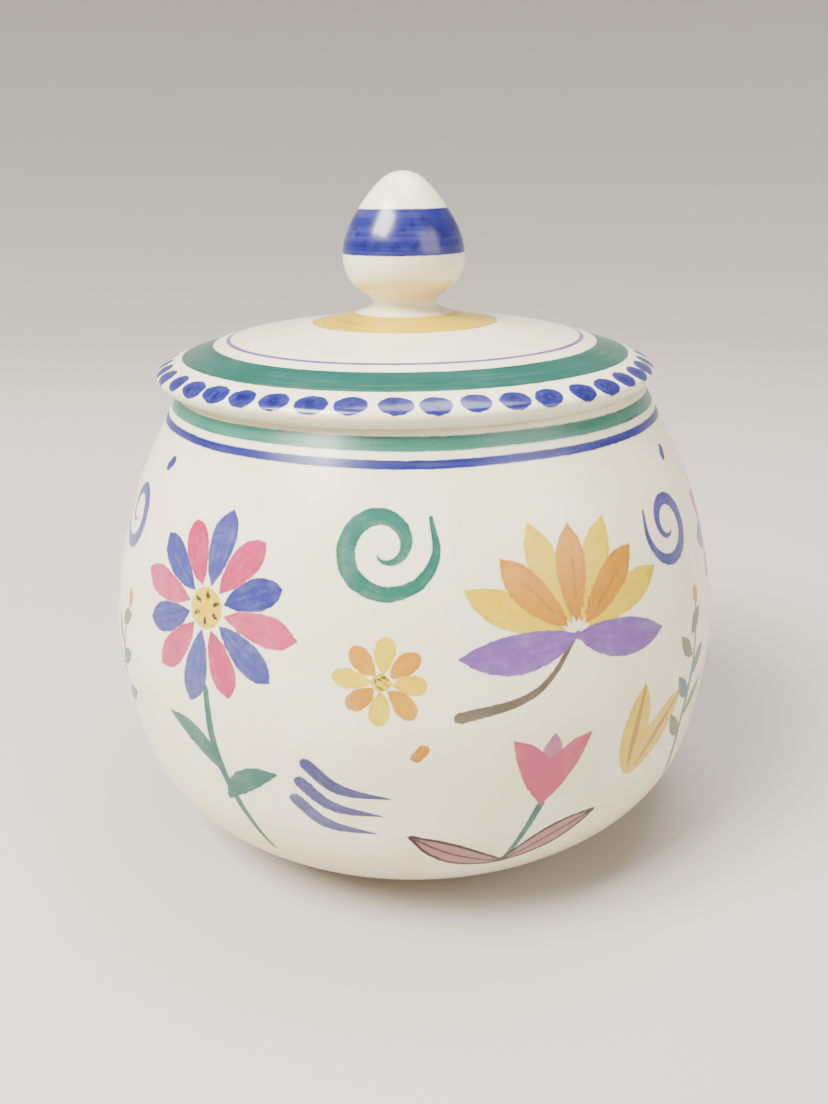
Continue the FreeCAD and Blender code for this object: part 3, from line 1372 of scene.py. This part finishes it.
@dataclass
class Lid:
    """The domed lid: rolled rim, crown, and the flange that locates it in the mouth."""

    rim_undercut: float = 2.2
    rim_waist: float = 2.3
    rim_height: float = 5.4
    rim_roll: float = 4.7
    crown_flare: float = 15.0
    roll_slope: float = 22.0
    undercut_heading: float = -150.0
    thickness: float = 4.2
    hollow_height: float = 2.4
    flange_radius: float = 39.6
    flange_width: float = 3.4
    flange_edge: float = 1.2
    hollow_edge: float = 4.0
    knob_face: float = 12.2
    crown_line: Shares = (
        (0.157, 0.139), (0.432, 0.345), (0.628, 0.480), (0.798, 0.685), (0.915, 0.870)
    )
    steps: int = 432
    dots: int = 45
    dot_size: tuple[float, float] = (3.0, 2.1)
    dot_place: tuple[float, float] = (48.45, 97.95)
    green_band: tuple[float, float] = (38.6, 44.9)
    violet_line: tuple[float, float] = (35.2, 36.05)
    yellow_disc: tuple[float, float] = (11.0, 18.7)
    glaze: Glaze = field(
        default_factory=lambda: Glaze("lid_glaze", roughness=0.22, coat=0.15, coat_roughness=0.06)
    )

    def __post_init__(self) -> None:
        """Take the lid's place from the frame."""
        low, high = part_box("lid")
        self.centre_x = (low.x + high.x) / 2 / MM
        self.radius = (high.x - low.x) / 2 / MM
        self.flange_z = low.z / MM
        self.top = high.z / MM
        self.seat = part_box("crock")[1].z / MM

    def outline(self) -> Outline:
        """The lid's whole section, from the middle of its top to the middle of its hollow.

        Returns:
            The outline.
        """
        face = (self.knob_face, self.top)
        roll = (self.radius - self.rim_roll, self.seat + self.rim_height)
        widest = (self.radius, self.seat + self.rim_waist)
        lower = (self.radius - self.rim_undercut, self.seat)
        crown = [face, *shares_between(face, roll, self.crown_line), roll]
        inner = self.flange_radius - self.flange_width
        drawn = Outline(0.0, self.top).line(*face, rows=3)
        drawn.curve(Curve(crown, -self.crown_flare, -self.roll_slope), step=0.9)
        drawn.curve(Curve([roll, widest, lower], -self.roll_slope, self.undercut_heading), step=0.5)
        drawn.line(self.flange_radius, self.seat, rows=2)
        drawn.line(self.flange_radius, self.flange_z).corner(self.flange_edge)
        drawn.line(inner, self.flange_z).corner(self.flange_edge)
        drawn.line(inner, self.seat + self.hollow_height).corner(self.hollow_edge)
        return drawn.dome(self.top - self.thickness, step=2.2)

    def build(self) -> bpy.types.Object:
        """Turn the lid.

        Returns:
            The piece.
        """
        piece = turned("lid_dome", self.outline().rows(), self.centre_x, self.steps)
        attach(piece, "lid")
        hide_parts("lid")
        return piece

    def paint(self, net: Net, under: Wire, place: Wire) -> Wire:
        """Put the rings and the rim's dots over the glaze's colour.

        Args:
            net: The material's nodes.
            under: The glaze's colour.
            place: Place on the piece, in millimetres.

        Returns:
            The painted colour.
        """
        x, y, z = net.split(place)
        x = x - self.centre_x
        radius = x.hypot(y)
        colour = painted_ring(net, under, place, radius, self.yellow_disc, Pigment.YELLOW, 1.05)
        colour = painted_ring(net, colour, place, radius, self.violet_line, Pigment.VIOLET, 0.62, 0.2)
        colour = painted_ring(net, colour, place, radius, self.green_band, Pigment.GREEN, 0.94, 0.2)
        out, up = self.dot_place
        down = (radius - out - z + up) * math.sqrt(0.5)
        colour = self.dotted(net, colour, place, y.math("ARCTAN2", x), down)
        above = z.smooth(self.seat + 0.2, self.seat + 0.6)
        return net.blend(above, under, colour)

    def dotted(self, net: Net, under: Wire, place: Wire, angle: Wire, down: Wire) -> Wire:
        """Dab the dots round the rim, no two quite alike.

        Args:
            net: The material's nodes.
            under: Colour beneath.
            place: Place on the piece, in millimetres.
            angle: Angle round the lid, in radians.
            down: Distance down over the rim from the middle of the dots, in millimetres.

        Returns:
            The colour with the dots on it.
        """
        turn = angle * (self.dots / math.tau) + self.dots
        cell = turn.math("FLOOR")
        dimensions = {"noise_dimensions": "1D"}
        chance = net.node("ShaderNodeTexWhiteNoise", dimensions, {"W": cell}, "Color")
        shift, stretch, lift = net.split(chance)
        pitch = math.tau * (self.radius - 1.0) / self.dots
        along = (turn - cell - 0.5) * pitch + (shift - 0.5) * 1.1
        up = down - (lift - 0.5) * 0.5 + along * (shift - 0.5) * 0.16
        wide, tall = self.dot_size
        long = along * (1.0 / wide) * (1.16 - stretch * 0.30)
        high = up * (1.0 / tall)
        away = long.hypot(high) + net.cloud(place, 1.3) * 0.24
        mask = away.smooth(1.05, 0.94)
        patch = net.cloud(place, 1.5, rough=0.6)
        core = (away + (shift - 0.5) * high * 0.5).smooth(0.85, 0.2)
        body = 1.0 + patch * 0.10
        light, dark = thinned(Pigment.COBALT, 1.02), Pigment.DEEP_COBALT.value
        hue = net.blend((core * 0.5 + patch * 1.4).smooth(0.0, 0.9), light, dark)
        return net.blend(mask * body, under, hue)

    def dress(self, piece: bpy.types.Object) -> None:
        """Glaze the lid."""
        self.glaze.dress(piece, self.paint)


@dataclass
class Knob:
    """The acorn knob on the lid's crown."""

    radius: float = 12.15
    waist: float = 11.1
    neck_radius: float = 6.35
    neck: float = 2.5
    foot_radius: float = 12.2
    tip_radius: float = 6.5
    tip_turn: float = 42.0
    crown_flare: float = 15.0
    flare: Shares = ((0.786, 0.56),)
    acorn_below: Shares = ((0.20, 0.19), (0.61, 0.38), (0.83, 0.57))
    acorn_above: Shares = ((0.145, 0.37), (0.354, 0.577))
    steps: int = 192
    blue_band: tuple[float, float] = (118.5, 126.8)
    yellow_foot: tuple[float, float] = (9.9, 20.0)
    foot_to: tuple[float, float] = (108.6, 107.8)
    tinge: RGB = (0.74, 0.47, 0.07)
    tinge_from: tuple[float, float] = (109.0, 111.0)
    tinge_to: tuple[float, float] = (115.2, 112.0)
    glaze: Glaze = field(
        default_factory=lambda: Glaze(
            "knob_glaze", tint=(0.800, 0.755, 0.560), roughness=0.25, coat=0.2, coat_roughness=0.10
        )
    )

    def __post_init__(self) -> None:
        """Take the knob's place from the frame."""
        low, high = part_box("knob")
        self.centre_x = (low.x + high.x) / 2 / MM
        self.base, self.tip = low.z / MM, high.z / MM

    def outline(self) -> Outline:
        """The knob's whole section, from the middle of its foot to its tip.

        Returns:
            The outline.
        """
        foot = (self.foot_radius, self.base)
        neck = (self.neck_radius, self.base + self.neck)
        waist = (self.radius, self.base + self.waist)
        centre = np.array((0.0, self.tip - self.tip_radius))
        shoulder = tuple(centre + heading(90 - self.tip_turn) * self.tip_radius)
        flared = [foot, *shares_between(foot, neck, self.flare), neck]
        side = [neck, *shares_between(neck, waist, self.acorn_below), waist]
        side += [*shares_between(waist, shoulder, self.acorn_above), shoulder]
        drawn = Outline(0.0, self.base).line(*foot, rows=2)
        drawn.curve(Curve(flared, 180 - self.crown_flare, 90.0), step=0.45)
        drawn.curve(Curve(side, 90.0, 180 - self.tip_turn), step=0.6)
        return drawn.dome(self.tip, step=0.5)

    def build(self) -> bpy.types.Object:
        """Turn the knob.

        Returns:
            The piece.
        """
        piece = turned("acorn_knob", self.outline().rows(), self.centre_x, self.steps)
        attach(piece, "lid")
        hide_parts("knob")
        return piece

    def paint(self, net: Net, under: Wire, place: Wire) -> Wire:
        """Put the blue band and the yellow tinge over the glaze's colour.

        Args:
            net: The material's nodes.
            under: The glaze's colour.
            place: Place on the piece, in millimetres.

        Returns:
            The painted colour.
        """
        x, y, z = net.split(place)
        x = x - self.centre_x
        radius = x.hypot(y)
        drift = z + net.cloud(place, 6.0) * 1.6
        tinge = drift.smooth(*self.tinge_from) * drift.smooth(*self.tinge_to)
        colour = net.blend(tinge * 0.5, under, self.tinge)
        foot = painted_ring(net, colour, place, radius, self.yellow_foot, Pigment.YELLOW, 1.05)
        colour = net.blend(z.smooth(*self.foot_to), colour, foot)
        patch = net.cloud(place, 2.6, rough=0.6)
        band = painted_ring(net, colour, place, z, self.blue_band, Pigment.COBALT, 1.06, 0.25)
        inside = z.smooth(self.blue_band[0] + 0.5, self.blue_band[0] + 1.5)
        inside = inside * z.smooth(self.blue_band[1] - 0.5, self.blue_band[1] - 1.5)
        deep = Pigment.DEEP_COBALT.value
        return net.blend(patch.smooth(-0.02, 0.16) * inside * 0.6, band, deep)

    def dress(self, piece: bpy.types.Object) -> None:
        """Glaze the knob."""
        self.glaze.dress(piece, self.paint)


# ---- the studio -----------------------------------------------------------------------


@dataclass
class Studio:
    """The floor, the lights and the camera."""

    camera_place: tuple[float, float, float] = (0.0, -0.20121, 0.13094)
    camera_pitch: float = 20.73
    camera_roll: float = -0.72
    lens: float = 31.63
    floor_radius: float = 2200.0
    cove: float = 1500.0
    wall_height: float = 2200.0
    sensor: float = 36.0
    aim_height: float = 0.06
    air_tint: RGB = (1.0, 0.975, 0.93)
    air_strength: float = 0.36
    paper: Backdrop = field(default_factory=Backdrop)

    def lay_floor(self) -> bpy.types.Object:
        """Lay a round floor that sweeps up into a low wall.

        Returns:
            The floor.
        """
        drawn = Outline(0.0, 0.0).line(self.floor_radius, 0.0, rows=3).corner(self.cove)
        drawn.line(self.floor_radius, self.wall_height, rows=2)
        sheet = turned("floor", drawn.rows(around=20), centre_x=0.0, steps=96)
        self.paper.dress(sheet)
        return sheet

    def lamp(
        self, name: str, place: tuple[float, float, float], size: float, power: float, tint: RGB
    ) -> None:
        """Hang a soft square light that faces the pot.

        Args:
            name: The light's name.
            place: Where it hangs.
            size: Length of its side.
            power: Its power in watts.
            tint: Its colour.
        """
        only(None)
        bpy.ops.object.light_add(type="AREA", location=place)
        light = bpy.context.object
        light.name = name
        light.data.size = size
        light.data.energy = power
        light.data.color = tint
        aim = np.array((0.0, 0.0, self.aim_height)) - np.array(place)
        flat = math.hypot(aim[0], aim[1])
        turn = math.atan2(aim[1], aim[0]) - math.pi / 2
        light.rotation_euler = (math.atan2(flat, -aim[2]), 0.0, turn)

    def light(self) -> None:
        """Light the pot softly from above and from both sides."""
        self.lamp("key_light", (-0.60, -0.42, 0.95), size=0.55, power=53.0, tint=(1.0, 0.975, 0.90))
        self.lamp("fill_light", (0.90, -0.65, 0.60), size=0.8, power=9.0, tint=(1.0, 0.97, 0.91))
        self.lamp("top_light", (0.15, 0.15, 1.25), size=0.7, power=20.0, tint=(1.0, 0.98, 0.93))
        world = bpy.data.worlds.new("studio_air")
        world.use_nodes = True
        background = world.node_tree.nodes["Background"]
        background.inputs["Color"].default_value = (*self.air_tint, 1.0)
        background.inputs["Strength"].default_value = self.air_strength
        bpy.context.scene.world = world

    def aim_camera(self) -> None:
        """Stand the camera in front of the pot, looking down at it."""
        only(None)
        bpy.ops.object.camera_add(location=self.camera_place)
        camera = bpy.context.object
        camera.name = "camera"
        level = Euler((math.radians(90 - self.camera_pitch), 0.0, 0.0)).to_matrix()
        roll = Euler((0.0, 0.0, math.radians(self.camera_roll))).to_matrix()
        camera.rotation_euler = (level @ roll).to_euler()
        camera.data.lens = self.lens
        camera.data.sensor_width = self.sensor
        camera.data.clip_start = 0.01
        bpy.context.scene.camera = camera


def main() -> None:
    """Build the crock, its lid and its knob, and set them in the studio."""
    logging.basicConfig(level=logging.INFO, format="%(message)s")
    for maker in (Crock(), Lid(), Knob()):
        piece = maker.build()
        maker.dress(piece)
        LOG.info("%s: %d corners", piece.name, len(piece.data.vertices))
    studio = Studio()
    studio.lay_floor()
    studio.light()
    studio.aim_camera()


if __name__ == "__main__":
    main()
